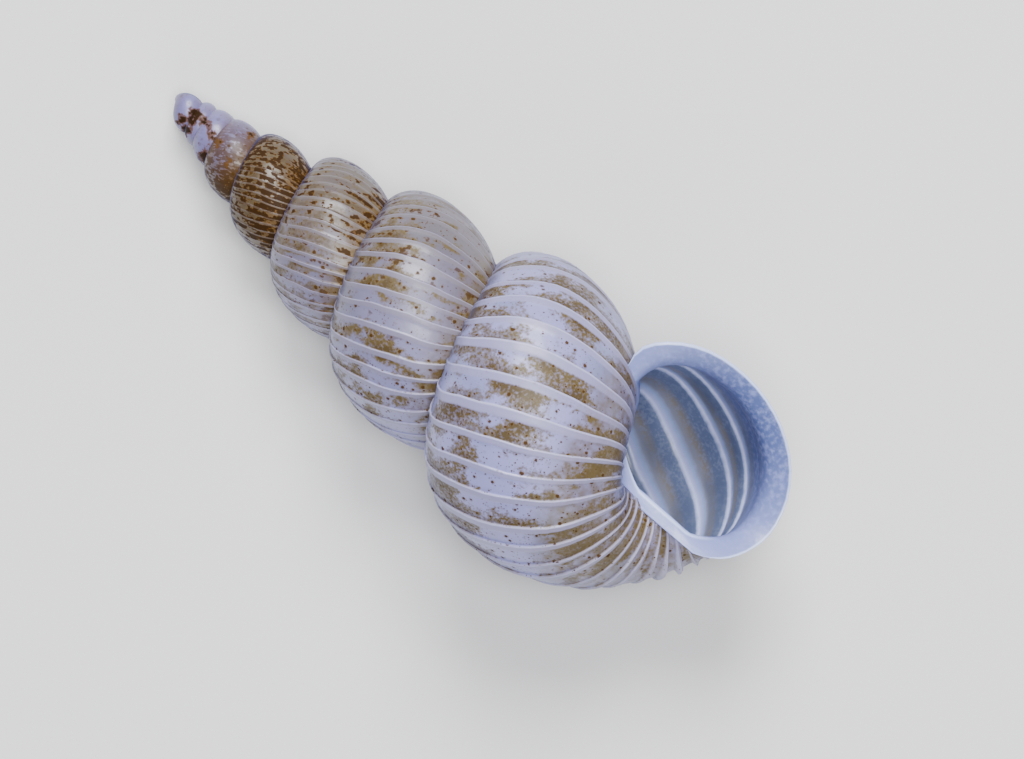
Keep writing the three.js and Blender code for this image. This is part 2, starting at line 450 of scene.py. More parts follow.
class Field:
    """A number that varies over a mesh, made of nodes by ordinary arithmetic."""

    def __init__(self, tree: bpy.types.NodeTree, socket: Socket) -> None:
        """Wraps an output socket of a tree."""
        self.tree = tree
        self.socket = socket

    def math(self, operation: str, *others: "Field | float") -> "Field":
        """Result of a Math node with this number as its first input."""
        return math_node(self.tree, operation, self, *others)

    def __add__(self, other: "Field | float") -> "Field":
        """Sum."""
        return self.math("ADD", other)

    __radd__ = __add__

    def __sub__(self, other: "Field | float") -> "Field":
        """Difference."""
        return self.math("SUBTRACT", other)

    def __rsub__(self, other: float) -> "Field":
        """Difference, taken from a plain number."""
        return math_node(self.tree, "SUBTRACT", other, self)

    def __mul__(self, other: "Field | float") -> "Field":
        """Product."""
        return self.math("MULTIPLY", other)

    __rmul__ = __mul__

    def __truediv__(self, other: "Field | float") -> "Field":
        """Quotient."""
        return self.math("DIVIDE", other)

    def __neg__(self) -> "Field":
        """The same number with the other sign."""
        return self.math("MULTIPLY", -1.0)

    def clamped(self, low: "Field | float", high: "Field | float") -> "Field":
        """This number, held between two others."""
        return self.math("MAXIMUM", low).math("MINIMUM", high)

    def smooth(self, start: float, end: float) -> "Field":
        """0 before start, 1 after end and an even curve between them.

        Args:
            start: number below which the result is 0.
            end: number above which the result is 1.

        Returns:
            The result.
        """
        node = self.tree.nodes.new("ShaderNodeMapRange")
        node.interpolation_type = "SMOOTHSTEP"
        self.tree.links.new(self.socket, node.inputs["Value"])
        node.inputs["From Min"].default_value = start
        node.inputs["From Max"].default_value = end
        return Field(self.tree, node.outputs[0])

    def smooth_degrees(self, start: float, end: float) -> "Field":
        """An angle's smooth(), with its limits in degrees."""
        return self.smooth(math.radians(start), math.radians(end))

    def bump(self, centre: float, width: float) -> "Field":
        """1 at the centre, falling off to both sides like a bell."""
        offset = (self - centre) / width
        return (-(offset * offset)).math("EXPONENT")

    def bump_degrees(self, centre: float, width: float) -> "Field":
        """An angle's bump(), with its centre in degrees."""
        return self.bump(math.radians(centre), width)


def math_node(tree: bpy.types.NodeTree, operation: str, *inputs: "Field | float") -> Field:
    """Adds a Math node.

    Args:
        tree: the tree to add it to.
        operation: name of the Math node's operation.
        inputs: numbers or fields for its inputs.

    Returns:
        The node's result.
    """
    node = tree.nodes.new("ShaderNodeMath")
    node.operation = operation
    for slot, value in zip(node.inputs, inputs, strict=False):
        if isinstance(value, Field):
            tree.links.new(value.socket, slot)
        else:
            slot.default_value = value
    return Field(tree, node.outputs[0])


def enabled(sockets: bpy.types.bpy_prop_collection, name: str) -> Socket:
    """The socket of that name that the node's present settings use."""
    return next(socket for socket in sockets if socket.name == name and socket.enabled)


Value = Field | Socket | float | tuple[float, ...]


class Nodes:
    """A tree, with short ways to add nodes to it."""

    def __init__(self, tree: bpy.types.NodeTree) -> None:
        """Works in the given tree."""
        self.tree = tree

    def add(self, kind: str, values: dict[str | int, Value],
            **settings: str | bool) -> bpy.types.Node:
        """Adds a node.

        Args:
            kind: type of the node.
            values: what its inputs get, by their names or numbers.
            settings: the node's own settings.

        Returns:
            The node.
        """
        node = self.tree.nodes.new(kind)
        for name, setting in settings.items():
            setattr(node, name, setting)
        for name, value in values.items():
            slot = node.inputs[name] if isinstance(name, int) else enabled(node.inputs, name)
            if isinstance(value, Field):
                value = value.socket
            if isinstance(value, Socket):
                self.tree.links.new(value, slot)
            else:
                slot.default_value = value
        return node

    def vector(self, x: Field | float, y: Field | float, z: Field | float) -> Socket:
        """Vector made of three numbers."""
        return self.add("ShaderNodeCombineXYZ", {0: x, 1: y, 2: z}).outputs[0]


# ---- the tree -------------------------------------------------------------------------


@dataclass(frozen=True)
class Spot:
    """Dark blotch on the tip, by its place as seen from above, in millimetres."""

    x: float
    y: float
    radius: float


TIP_SPOTS = tuple(Spot(*numbers) for numbers in (
    (-1.796, -0.036, 0.03), (-1.787, -0.07, 0.022), (-1.744, -0.032, 0.02),
    (-1.71, -0.024, 0.018), (-1.834, -0.103, 0.024), (-1.78, -0.126, 0.026),
    (-1.657, -0.061, 0.022), (-1.602, -0.069, 0.03), (-1.617, -0.171, 0.03),
    (-1.487, -0.114, 0.04), (-1.503, 0.072, 0.02), (-1.43, -0.1, 0.03),
    (-1.547, -0.221, 0.012), (-1.549, -0.147, 0.012),
))


@dataclass
class Section:
    """Fields that describe the tube's section at a place."""

    down: Field
    out: Field
    drift: Field
    wide: Field
    tall: Field
    lean: Field


@dataclass(frozen=True)
class RibShape:
    """Numbers of the ribs. Centres of bumps are in degrees, their widths in radians."""

    wander_along: float = 0.45
    wander_around: float = 1.6
    wander_turns: Range = (0.05, 0.3)
    ripple_around: float = 9.0
    ripple_width: float = 0.05
    growth_power: float = 2.4
    knob: Range = (70, 0.25)
    knob_start: Range = (-0.37, -0.33)
    knob_end: Range = (-0.23, -0.19)
    faint: Range = (-60, 0.6)
    faint_turns: Range = (-1.1, -0.9)
    faintness: float = 0.35
    rough_along: float = 6.0
    rough_scale: float = 1.3
    fine_detail: float = 2.0


@dataclass(frozen=True)
class LipShape:
    """Numbers of the lip and of the wall by the axis. Angles are in degrees."""

    fade_turns: float = 0.02
    top: float = 25
    top_start: Range = (-100, -70)
    top_end: Range = (60, 90)
    fold: Range = (-97, -80)
    nick_around: float = 5.0
    nick_scale: float = 3.0
    nicked: Range = (75, 0.6)
    wrapped_below: float = -100
    axis_start: Range = (95, 130)
    axis_end: Range = (190, 225)
    axis_turns: Range = (-0.32, -0.22)
    wall: float = 0.03
    wall_turns: Range = (-0.85, -0.7)
    past_axis: float = 0.4
    meeting: Range = (-0.25, 0.0)
    least_step: float = 1e-9
    inside_from: float = 0.001


class Vertex:
    """Numbers of the vertex that the tree is placing, and masks made from them."""

    def __init__(self, tree: "TubeTree") -> None:
        """Reads the numbers that the sheet carries.

        Args:
            tree: the tree that places the vertex.
        """
        lip = tree.lip
        read = tree.number
        self.turn, self.angle = read(Attribute.TURN), read(Attribute.ANGLE)
        self.rib, self.ridge = read(Attribute.RIB), read(Attribute.RIDGE)
        self.lift, self.inside = read(Attribute.LIFT), read(Attribute.INSIDE)
        self.spread = read(Attribute.SPREAD)
        self.sine, self.cosine = self.angle.math("SINE"), self.angle.math("COSINE")
        self.phase = self.rib.math("FRACT")
        wraps = self.angle.math("LESS_THAN", math.radians(lip.wrapped_below))
        self.wrapped = self.angle + math.tau * wraps
        faces = self.wrapped.smooth_degrees(*lip.axis_start)
        self.faces_axis = faces * (1.0 - self.wrapped.smooth_degrees(*lip.axis_end))
        self.by_axis = self.faces_axis * self.turn.smooth(*lip.axis_turns)
        self.near_lip = (self.turn / lip.fade_turns).math("MINIMUM", 0.0).math("EXPONENT")
        self.at_lip = self.near_lip * (1.0 - self.inside)


@dataclass
class TubeTree(Nodes):
    """Geometry Nodes tree that winds the sheet into a ribbed shell."""

    growth: Growth
    ribs: RibShape = field(default_factory=RibShape)
    lip: LipShape = field(default_factory=LipShape)
    settings: dict[str, float] = field(default_factory=lambda: {
        "Rib Height": 0.014,
        "Inner Ridge Height": 0.014,
        "Rib Wander": 0.006,
        "Edge Ripple": 0.0011,
        "Surface Unevenness": 0.004,
        "Knob Height": 2.2,
        "Lip Flare On Top": 0.04,
        "Columella Radius": 0.012,
        "Inner Lip Width": 0.05,
        "Inner Lip Height": 0.01,
        "Lip Nicks": 0.05,
        "Glaze Thickness": 0.012,
        "Seed": 3.0,
    })
    spots: tuple[Spot, ...] = TIP_SPOTS
    outer_profile: tuple[Range, ...] = (
        (0.0, 1.0), (0.04, 0.92), (0.1, 0.76), (0.17, 0.66), (0.23, 0.5), (0.29, 0.22),
        (0.36, 0.06), (0.5, 0.0), (0.75, -0.06), (0.92, -0.05), (0.975, -0.06), (1.0, -0.06),
    )
    inner_profile: tuple[Range, ...] = (
        (0.0, 1.0), (0.06, 0.95), (0.14, 0.72), (0.25, 0.38), (0.4, 0.1), (0.6, 0.0),
        (0.85, 0.0), (0.93, 0.2), (1.0, 1.0),
    )

    def __post_init__(self) -> None:
        """Makes the empty tree with its named inputs."""
        super().__init__(bpy.data.node_groups.new("wound tube", "GeometryNodeTree"))
        self.tree.is_modifier = True
        face = self.tree.interface
        face.new_socket("Geometry", in_out="INPUT", socket_type="NodeSocketGeometry")
        face.new_socket("Growth Table", in_out="INPUT", socket_type="NodeSocketObject")
        face.new_socket("Material", in_out="INPUT", socket_type="NodeSocketMaterial")
        for name, value in self.settings.items():
            socket = face.new_socket(name, in_out="INPUT", socket_type="NodeSocketFloat")
            socket.default_value = value
        face.new_socket("Geometry", in_out="OUTPUT", socket_type="NodeSocketGeometry")
        self.inputs = self.tree.nodes.new("NodeGroupInput")

    def setting(self, name: str) -> Field:
        """One of the tree's named inputs."""
        return Field(self.tree, self.inputs.outputs[name])

    def attribute(self, name: Attribute, kind: str = "FLOAT") -> Socket:
        """Output that reads an attribute of the mesh, whose values are of the given type."""
        node = self.add("GeometryNodeInputNamedAttribute", {"Name": name.value}, data_type=kind)
        return enabled(node.outputs, "Attribute")

    def number(self, name: Attribute) -> Field:
        """An attribute of the mesh as a number."""
        return Field(self.tree, self.attribute(name))

    def noise(self, place: tuple[Field | float, ...], scale: float = 1.0,
              detail: float = 1.0) -> Field:
        """Random number from about -1 to 1 that varies smoothly with three numbers.

        Args:
            place: the three numbers.
            scale: how many times it changes while one of them grows by 1.
            detail: how many finer layers it has.

        Returns:
            The number.
        """
        values = {"Vector": self.vector(*place), "W": self.setting("Seed")}
        values |= {"Scale": scale, "Detail": detail}
        node = self.add("ShaderNodeTexNoise", values, noise_dimensions="4D")
        return Field(self.tree, node.outputs[0]) * 2.0 - 1.0

    def profile(self, phase: Field, stops: tuple[Range, ...]) -> Field:
        """Height of a rib at a phase from 0 to 1 through a rib and the gap after it.

        Args:
            phase: 0 at the rib's free edge, 1 just before the next one's.
            stops: phases with the height there, as a share of the rib's.

        Returns:
            The height.
        """
        node = self.tree.nodes.new("ShaderNodeFloatCurve")
        curve = node.mapping.curves[0]
        node.mapping.use_clip = False
        points = curve.points
        points[0].location, points[1].location = stops[0], stops[-1]
        for stop in stops[1:-1]:
            points.new(*stop)
        for point in points:
            point.handle_type = "VECTOR"
        node.mapping.update()
        self.tree.links.new(phase.socket, node.inputs["Value"])
        return Field(self.tree, node.outputs[0])

    def sampled(self, source: Socket, value: Socket,
                index: Field) -> Socket:
        """A row of the growth table.

        Args:
            source: geometry of the table.
            value: which of its vectors to take.
            index: number of the row.

        Returns:
            The vector in that row.
        """
        node = self.tree.nodes.new("GeometryNodeSampleIndex")
        node.data_type, node.clamp = "FLOAT_VECTOR", True
        self.tree.links.new(source, node.inputs["Geometry"])
        self.tree.links.new(value, enabled(node.inputs, "Value"))
        self.tree.links.new(index.socket, node.inputs["Index"])
        return enabled(node.outputs, "Value")

    def weighted(self, rows: list[Socket],
                 weights: list[Field]) -> tuple[Field, Field, Field]:
        """Sum of vectors, each with its weight.

        Args:
            rows: the vectors.
            weights: one number for each.

        Returns:
            The three numbers of the sum.
        """
        total = None
        for row, weight in zip(rows, weights, strict=True):
            scaled = self.add("ShaderNodeVectorMath", {"Scale": weight}, operation="SCALE")
            self.tree.links.new(row, scaled.inputs[0])
            if total is None:
                total = scaled.outputs[0]
            else:
                both = {0: total, 1: scaled.outputs[0]}
                total = self.add("ShaderNodeVectorMath", both).outputs[0]
        x, y, z = self.add("ShaderNodeSeparateXYZ", {0: total}).outputs
        return Field(self.tree, x), Field(self.tree, y), Field(self.tree, z)

    def sections(self, place: Field) -> tuple[Section, Section, Section]:
        """Sections of the whorl at a place, the one before it and the one after it.

        Args:
            place: the place in turns.

        Returns:
            The three sections, which all lie in the same plane through the axis.
        """
        first = self.growth.whorls[0].turn
        steps = len(self.growth.whorls) - 1
        row = (place - first).math("FLOOR").clamped(0.0, steps - 1.0)
        t = place - first - row
        square, cube = t * t, t * t * t
        weights = [
            -0.5 * t + square - 0.5 * cube,
            1.0 - 2.5 * square + 1.5 * cube,
            0.5 * t + 2.0 * square - 1.5 * cube,
            -0.5 * square + 0.5 * cube,
        ]
        info = self.add("GeometryNodeObjectInfo", {"Object": self.inputs.outputs["Growth Table"]})
        source = info.outputs["Geometry"]
        position = self.tree.nodes.new("GeometryNodeInputPosition").outputs[0]
        section = self.attribute(Attribute.SECTION, "FLOAT_VECTOR")
        indices = [row + float(step) for step in range(-1, 5)]
        places = [self.sampled(source, position, index) for index in indices]
        sizes = [self.sampled(source, section, index) for index in indices]
        found = []
        for start in (1, 0, 2):
            down, out, drift = self.weighted(places[start:start + 4], weights)
            wide, tall, lean = self.weighted(sizes[start:start + 4], weights)
            found.append(Section(down, out, drift, wide, tall, lean))
        return found[0], found[1], found[2]

    def within(self, section: Section, down: Field, out: Field,
               more: Field | float) -> tuple[Field, Field]:
        """A point's place across a section, in which the section's skin is a circle of radius 1.

        Args:
            section: the section.
            down: the point's place along the axis.
            out: its distance from the axis.
            more: thickness that is added to the section.

        Returns:
            The two numbers of the place.
        """
        away, along = out - section.out, down - section.down
        sine, cosine = section.lean.math("SINE"), section.lean.math("COSINE")
        x = (away * cosine + along * sine) / (section.wide + more)
        y = (along * cosine - away * sine) / (section.tall + more)
        return x, y

    def beyond(self, section: Section, down: Field, out: Field) -> Field:
        """Distance of a point from a section's skin, roughly, in millimetres."""
        x, y = self.within(section, down, out, 0.0)
        return ((x * x + y * y).math("SQRT") - 1.0) * section.wide

    def spotted(self, x: Field, y: Field) -> Field:
        """How deep a place is within the nearest blotch of the tip.

        Args:
            x: the place's first coordinate, in millimetres.
            y: its second coordinate.

        Returns:
            1 in the middle of a blotch, 0 on its edge, and at least -1 elsewhere.
        """
        deepest = x * 0.0 - 1.0
        for spot in self.spots:
            away_x, away_y = x - spot.x, y - spot.y
            away = (away_x * away_x + away_y * away_y).math("SQRT") / spot.radius
            deepest = deepest.math("MAXIMUM", 1.0 - away)
        return deepest

    def stored(self, geometry: Socket, name: Attribute,
               value: Field) -> Socket:
        """Geometry with a number added to its vertices."""
        values = {"Geometry": geometry, "Name": name.value, "Value": value}
        return self.add("GeometryNodeStoreNamedAttribute", values).outputs[0]

    def place(self, at: Vertex) -> Field:
        """Turn of a vertex's section, once its rib leans, bows and wanders.

        Args:
            at: the vertex.

        Returns:
            The turn.
        """
        growth, ribs, sine = self.growth, self.ribs, at.sine
        around = ribs.wander_around
        slow = self.noise((at.rib * ribs.wander_along, sine * around, at.cosine * around))
        across = at.angle * ribs.ripple_around
        quick = self.noise((at.rib, across, 0.0), detail=ribs.fine_detail)
        near_edge = at.phase.bump(0.0, ribs.ripple_width) + at.phase.bump(1.0, ribs.ripple_width)
        ribbed = at.ridge.clamped(0.0, 1.0)
        run = growth.lean * sine + growth.bow * sine * sine + growth.hook * sine * sine * sine
        wander = self.setting("Rib Wander") * slow * ribbed * (-at.turn).smooth(*ribs.wander_turns)
        ripple = self.setting("Edge Ripple") * quick * ribbed * near_edge
        return at.turn - run + wander + ripple

    def rib_rise(self, at: Vertex, share: Field) -> Field:
        """Height of the ribs and of the inner ridges.

        Args:
            at: the vertex.
            share: size of its section, as a share of the lip's.

        Returns:
            The height in millimetres.
        """
        ribs = self.ribs
        outer = self.profile(at.phase, self.outer_profile)
        inner = self.profile(at.phase, self.inner_profile)
        knob = at.angle.bump_degrees(*ribs.knob) * at.turn.smooth(*ribs.knob_start)
        knob = knob * (1.0 - at.turn.smooth(*ribs.knob_end))
        faint = ribs.faintness * at.angle.bump_degrees(*ribs.faint)
        faint = faint * at.turn.smooth(*ribs.faint_turns)
        strength = 1.0 - faint + self.setting("Knob Height") * knob
        height = self.setting("Rib Height") * share.math("POWER", ribs.growth_power) * strength
        ridge = at.ridge * (1.0 - at.by_axis * (1.0 - at.inside))
        rise = ridge * height * outer * (1.0 - at.inside)
        return rise + ridge * self.setting("Inner Ridge Height") * inner * at.inside

    def lip_rise(self, at: Vertex) -> Field:
        """How far the lip folds out and in, flares on top and is nicked.

        Args:
            at: the vertex.

        Returns:
            The height in millimetres.
        """
        lip = self.lip
        on_top = (-((at.angle + math.radians(lip.top)).math("SINE"))).clamped(0.0, 1.0)
        on_top = on_top * at.angle.smooth_degrees(*lip.top_start)
        on_top = on_top * (1.0 - at.angle.smooth_degrees(*lip.top_end))
        flare = self.setting("Lip Flare On Top") * on_top * at.near_lip
        fold = (1.0 - at.by_axis) * at.wrapped.math("MINIMUM", 0.0).smooth_degrees(*lip.fold)
        lift = at.lift.math("MINIMUM", 0.0) + at.lift.math("MAXIMUM", 0.0) * fold
        around = at.angle * lip.nick_around
        nick = self.noise((around, 0.0, 0.0), lip.nick_scale, self.ribs.fine_detail)
        nick = self.setting("Lip Nicks") * nick.math("MINIMUM", 0.0) * at.at_lip
        return lift + flare + nick * at.angle.bump_degrees(*lip.nicked)

    def settled(self, at: Vertex, sections: tuple[Section, Section], point: tuple[Field, Field],
                share: Field) -> tuple[Field, Field]:
        """Stops a point of the wall where it would run through the whorl before.

        Args:
            at: the vertex.
            sections: its own section and the one before.
            point: where it lies, as its place along the axis and its distance from the axis.
            share: size of its section, as a share of the lip's.

        Returns:
            The point's place along the axis and its distance from the axis.
        """
        here, before = sections
        down, out = point
        glaze = self.setting("Glaze Thickness") + self.setting("Rib Height") * share
        glaze = glaze * (2.0 * at.inside - 1.0)
        from_x, from_y = self.within(before, here.down, here.out, glaze)
        to_x, to_y = self.within(before, down, out, glaze)
        step_x, step_y = to_x - from_x, to_y - from_y
        a = step_x * step_x + step_y * step_y + self.lip.least_step
        b = from_x * step_x + from_y * step_y
        c = from_x * from_x + from_y * from_y - 1.0
        discriminant = b * b - a * c
        hit = (-b - discriminant.math("MAXIMUM", 0.0).math("SQRT")) / a
        meets = (discriminant / a).smooth(*self.lip.meeting) * hit.math("GREATER_THAN", 0.0)
        meets = meets * at.inside.math("GREATER_THAN", self.lip.inside_from)
        stop = 1.0 - meets * (1.0 - hit.clamped(0.0, 1.0))
        return here.down + (down - here.down) * stop, here.out + (out - here.out) * stop

    def laid(self, at: Vertex, turn: Field, down: Field, out: Field,
             drift: Field) -> tuple[Field, Field, Field]:
        """Lays a point of the upright tube down on the floor.

        Args:
            at: the vertex.
            turn: the turn of its section.
            down: its place along the axis.
            out: its distance from the axis.
            drift: how far the axis lies to the side there.

        Returns:
            The point's three coordinates in millimetres.
        """
        growth = self.growth
        around = turn * math.tau + math.radians(growth.mouth_facing)
        side, up = out * around.math("COSINE") + drift, out * around.math("SINE")
        up += self.setting("Inner Lip Height") * at.at_lip * at.by_axis
        tilt = math.radians(growth.axis_slope)
        x = down * math.cos(tilt) - up * math.sin(tilt) + growth.shift[0]
        z = down * math.sin(tilt) + up * math.cos(tilt) + growth.shift[2]
        return x, side + growth.shift[1], z.math("MAXIMUM", 0.0)

    def build(self, material: bpy.types.Material, table: bpy.types.Object,
              sheet: bpy.types.Object) -> None:
        """Wires the tree, and gives it to the sheet as a modifier.

        Args:
            material: the shell's material.
            table: the growth table.
            sheet: the sheet to wind up.
        """
        at, lip, ribs = Vertex(self), self.lip, self.ribs
        turn = self.place(at)
        here, before, after = self.sections(turn)
        share = here.wide / self.growth.whorls[-1].half_wide
        along = at.turn * ribs.rough_along
        rough = self.noise((along, at.sine, at.cosine), ribs.rough_scale, ribs.fine_detail)
        rough = self.setting("Surface Unevenness") * share * rough * (1.0 - at.inside)
        rise = self.rib_rise(at, share) + self.lip_rise(at) + rough

        x = (here.wide * at.spread + rise) * at.cosine
        y = (here.tall * at.spread + rise) * at.sine
        sine, cosine = here.lean.math("SINE"), here.lean.math("COSINE")
        out, down = here.out + x * cosine - y * sine, here.down + x * sine + y * cosine
        least = self.setting("Columella Radius") + lip.wall * at.inside
        least = least - self.setting("Inner Lip Width") * at.at_lip
        kept = (least + lip.past_axis) * at.turn.smooth(*lip.wall_turns) - lip.past_axis
        down, out = self.settled(at, (here, before), (down, out.math("MAXIMUM", kept)), share)
        laid = self.laid(at, turn, down, out, here.drift)

        suture = self.beyond(before, down, out).math("MINIMUM", self.beyond(after, down, out))
        shape = self.stored(self.inputs.outputs["Geometry"], Attribute.SUTURE, suture)
        shape = self.stored(shape, Attribute.SPOT, self.spotted(laid[0], laid[1]))
        shape = self.stored(shape, Attribute.AXIS, at.faces_axis)
        placed = self.vector(*(number * MILLIMETRE for number in laid))
        for kind, values in (
            ("GeometryNodeSetPosition", {"Position": placed}),
            ("GeometryNodeSetShadeSmooth", {}),
            ("GeometryNodeRealizeInstances", {}),
            ("GeometryNodeSetMaterial", {"Material": self.inputs.outputs["Material"]}),
        ):
            shape = self.add(kind, {"Geometry": shape, **values}).outputs[0]
        self.add("NodeGroupOutput", {0: shape})

        modifier = sheet.modifiers.new("wind up", "NODES")
        modifier.node_group = self.tree
        given = {"Growth Table": table, "Material": material, **self.settings}
        for item in self.tree.interface.items_tree:
            if item.in_out == "INPUT" and item.name in given:
                modifier[item.identifier] = given[item.name]


# ---- finish ---------------------------------------------------------------------------

Colour = tuple[float, float, float]
Shade = Colour | Socket


@dataclass(frozen=True)
class Palette:
    """Colours of the shell, as linear red, green and blue."""

    white: Colour = (0.23, 0.23, 0.47)
    aged: Colour = (0.078, 0.061, 0.044)
    tip: Colour = (0.15, 0.148, 0.38)
    silted: Colour = (0.047, 0.027, 0.011)
    aged_rib: Colour = (0.115, 0.097, 0.087)
    rib: Colour = (0.225, 0.21, 0.36)
    rib_edge: Colour = (0.46, 0.45, 0.70)
    translucent: Colour = (0.13, 0.15, 0.28)
    tan: Colour = (0.095, 0.067, 0.026)
    brown: Colour = (0.06, 0.038, 0.012)
    amber: Colour = (0.085, 0.036, 0.002)
    dark: Colour = (0.018, 0.0065, 0.0005)
    speck: Colour = (0.05, 0.022, 0.002)
    halo: Colour = (0.11, 0.07, 0.025)
    pale: Colour = (0.19, 0.215, 0.34)
    deep: Colour = (0.06, 0.078, 0.145)
    rim: Colour = (0.06, 0.09, 0.25)
    lilac: Colour = (0.20, 0.235, 0.52)
    rim_edge: Colour = (0.46, 0.54, 0.90)
    # painted shade: dark blue laid over the shell's colour where its surface turns away from the
    # camera
    painted_grazing_shade: Colour = (0.10, 0.13, 0.36)


class Paint(Nodes):
    """Shader nodes written as ordinary arithmetic on colours and masks."""

    def __init__(self, tree: bpy.types.NodeTree) -> None:
        """Works in the given tree."""
        super().__init__(tree)
        self.coordinates = self.add("ShaderNodeTexCoord", {}).outputs["Object"]

    def number(self, name: Attribute) -> Field:
        """A number that the shell's vertices carry."""
        node = self.add("ShaderNodeAttribute", {}, attribute_name=name.value)
        return Field(self.tree, node.outputs["Fac"])

    def noise(self, scale: float, where: Socket | None = None, detail: float = 2.0,
              seed: float = 0.0) -> Field:
        """Smooth random number around 0.5.

        Args:
            scale: how many times it changes in a unit of length.
            where: vector that it varies with; the place in the object if none is given.
            detail: how many finer layers it has.
            seed: which of the many patterns it is.

        Returns:
            The number.
        """
        shift = (seed / scale, 2.0 * seed / scale, 0.0)
        moved = self.add("ShaderNodeVectorMath", {0: where or self.coordinates, 1: shift})
        values = {"Vector": moved.outputs[0], "Scale": scale, "Detail": detail}
        return Field(self.tree, self.add("ShaderNodeTexNoise", values).outputs[0])

    def shaken(self, distance: float, scale: float) -> Socket:
        """Place in the object, pushed a little this way and that.

        Args:
            distance: how far it is pushed.
            scale: how many times the push changes in a unit of length.

        Returns:
            The pushed place.
        """
        noise = self.add("ShaderNodeTexNoise", {"Vector": self.coordinates, "Scale": scale})
        values = {0: noise.outputs["Color"], 1: (distance,) * 3, 2: self.coordinates}
        return self.add("ShaderNodeVectorMath", values, operation="MULTIPLY_ADD").outputs[0]

    def cells(self, scale: float, where: Socket) -> tuple[Field, Field, Field]:
        """Distance to the nearest of many scattered points, and two random numbers of that point.

        Args:
            scale: how many points there are along a unit of length.
            where: vector that they are scattered in.

        Returns:
            The distance and the two random numbers.
        """
        node = self.add("ShaderNodeTexVoronoi", {"Vector": where, "Scale": scale})
        split = self.add("ShaderNodeSeparateColor", {0: node.outputs["Color"]})
        sockets = (node.outputs["Distance"], *split.outputs[:2])
        distance, first, second = (Field(self.tree, socket) for socket in sockets)
        return distance, first, second

    def mixed(self, factor: Field, below: Shade, above: Shade) -> Socket:
        """One colour laid over another.

        Args:
            factor: how much of the upper colour shows, from 0 to 1.
            below: the lower colour.
            above: the upper colour.

        Returns:
            The mixed colour.
        """
        sides = {
            name: value if isinstance(value, Socket) else (*value, 1.0)
            for name, value in (("A", below), ("B", above))
        }
        node = self.add("ShaderNodeMix", {"Factor": factor, **sides}, data_type="RGBA")
        return enabled(node.outputs, "Result")

    def ramp(self, factor: Field, stops: tuple[tuple[float, Colour], ...]) -> Socket:
        """Colour that changes along a number.

        Args:
            factor: the number, from 0 to 1.
            stops: numbers with the colour there.

        Returns:
            The colour.
        """
        node = self.tree.nodes.new("ShaderNodeValToRGB")
        elements = node.color_ramp.elements
        while len(elements) < len(stops):
            elements.new(0.5)
        for element, (position, colour) in zip(elements, stops, strict=True):
            element.position, element.color = position, (*colour, 1.0)
        self.tree.links.new(factor.socket, node.inputs[0])
        return node.outputs[0]


@dataclass(frozen=True)
class Pattern:
    """A random pattern: its changes in a millimetre, its finer layers and which one it is."""

    scale: float
    detail: float
    seed: float


@dataclass
class Skin:
    """What every stain depends on: a place's age, its rib and its grain.

    Ages are in turns, places on a rib are phases, and scales are to the millimetre.
    """

    paint: Paint
    per_millimetre: float = 1000.0
    old_turns: Range = (-3.4, -2.0)
    aged_turns: Range = (-2.3, -0.6)
    oldest_turns: Range = (-3.5, -2.5)
    tip_turns: Range = (-5.2, -4.3)
    lighter_side: Range = (0.47, 0.2)
    lighter_side_turns: Range = (-3.7, -3.0)
    side_lightening: float = 0.7
    band_end: Range = (0.2, 0.28)
    edge_end: Range = (0.015, 0.05)
    edge_start: Range = (0.985, 0.995)
    worn: float = 0.25
    skin_depth: float = 0.02
    seam: Range = (0.13, 0.04)
    gap_detail: float = 2.0
    region_pattern: Pattern = Pattern(1.7, 1.0, 4.0)
    fine_pattern: Pattern = Pattern(22.0, 2.0, 2.0)
    grain_pattern: Pattern = Pattern(60.0, 1.0, 3.0)
    drop_pattern: Pattern = Pattern(34.0, 2.0, 7.0)

    def __post_init__(self) -> None:
        """Reads the shell's numbers, and makes its ages, ribs and grain."""
        read = self.paint.number
        self.turn, self.angle = read(Attribute.TURN), read(Attribute.ANGLE)
        rib = read(Attribute.RIB)
        self.inside, self.lift = read(Attribute.INSIDE), read(Attribute.LIFT)
        self.by_axis, ridge = read(Attribute.AXIS), read(Attribute.RIDGE).clamped(0.0, 1.0)
        self.phase, self.number = rib.math("FRACT"), rib.math("FLOOR")
        self.outside = 1.0 - self.inside.smooth(0.0, self.skin_depth)
        self.old, aged, self.oldest, self.tip = (
            1.0 - self.turn.smooth(*turns)
            for turns in (self.old_turns, self.aged_turns, self.oldest_turns, self.tip_turns)
        )
        # Lighter on one side of each whorl after about turn -3.5: less ageing colour, fewer
        # blotches and slightly less tan there.
        side = self.turn.math("FRACT").bump(*self.lighter_side)
        self.clean = side * self.turn.smooth(*self.lighter_side_turns)
        self.kept = 1.0 - self.clean * self.side_lightening
        self.aged = aged * self.kept
        self.band = (1.0 - self.phase.smooth(*self.band_end)) * ridge
        before, after = self.phase.smooth(*self.edge_end), self.phase.smooth(*self.edge_start)
        self.edge = ((1.0 - before) + after) * ridge
        self.gap = 1.0 - self.band * (1.0 - self.worn * self.old)
        seam_width = self.seam[0] - self.seam[1] * self.old
        near = (read(Attribute.SUTURE) / seam_width).smooth(0.0, 1.0)
        self.near_seam = 1.0 - near
        self.regions, self.fine = self.noise(self.region_pattern), self.noise(self.fine_pattern)
        self.grain, self.drops = self.noise(self.grain_pattern), self.noise(self.drop_pattern)

    def noise(self, pattern: Pattern) -> Field:
        """Smooth random number around 0.5 that varies over the shell."""
        scale = pattern.scale * self.per_millimetre
        return self.paint.noise(scale, None, pattern.detail, pattern.seed)

    def in_gaps(self, steps: tuple[float, float, float], seed: float) -> Field:
        """Smooth random number that starts afresh in each gap between two ribs.

        Args:
            steps: how fast it changes from gap to gap, around the tube and across a gap.
            seed: which of the many patterns it is.

        Returns:
            The number.
        """
        along, around, across = steps
        where = (self.number * along, self.angle * around, self.phase * across)
        return self.paint.noise(1.0, self.paint.vector(*where), self.gap_detail, seed)


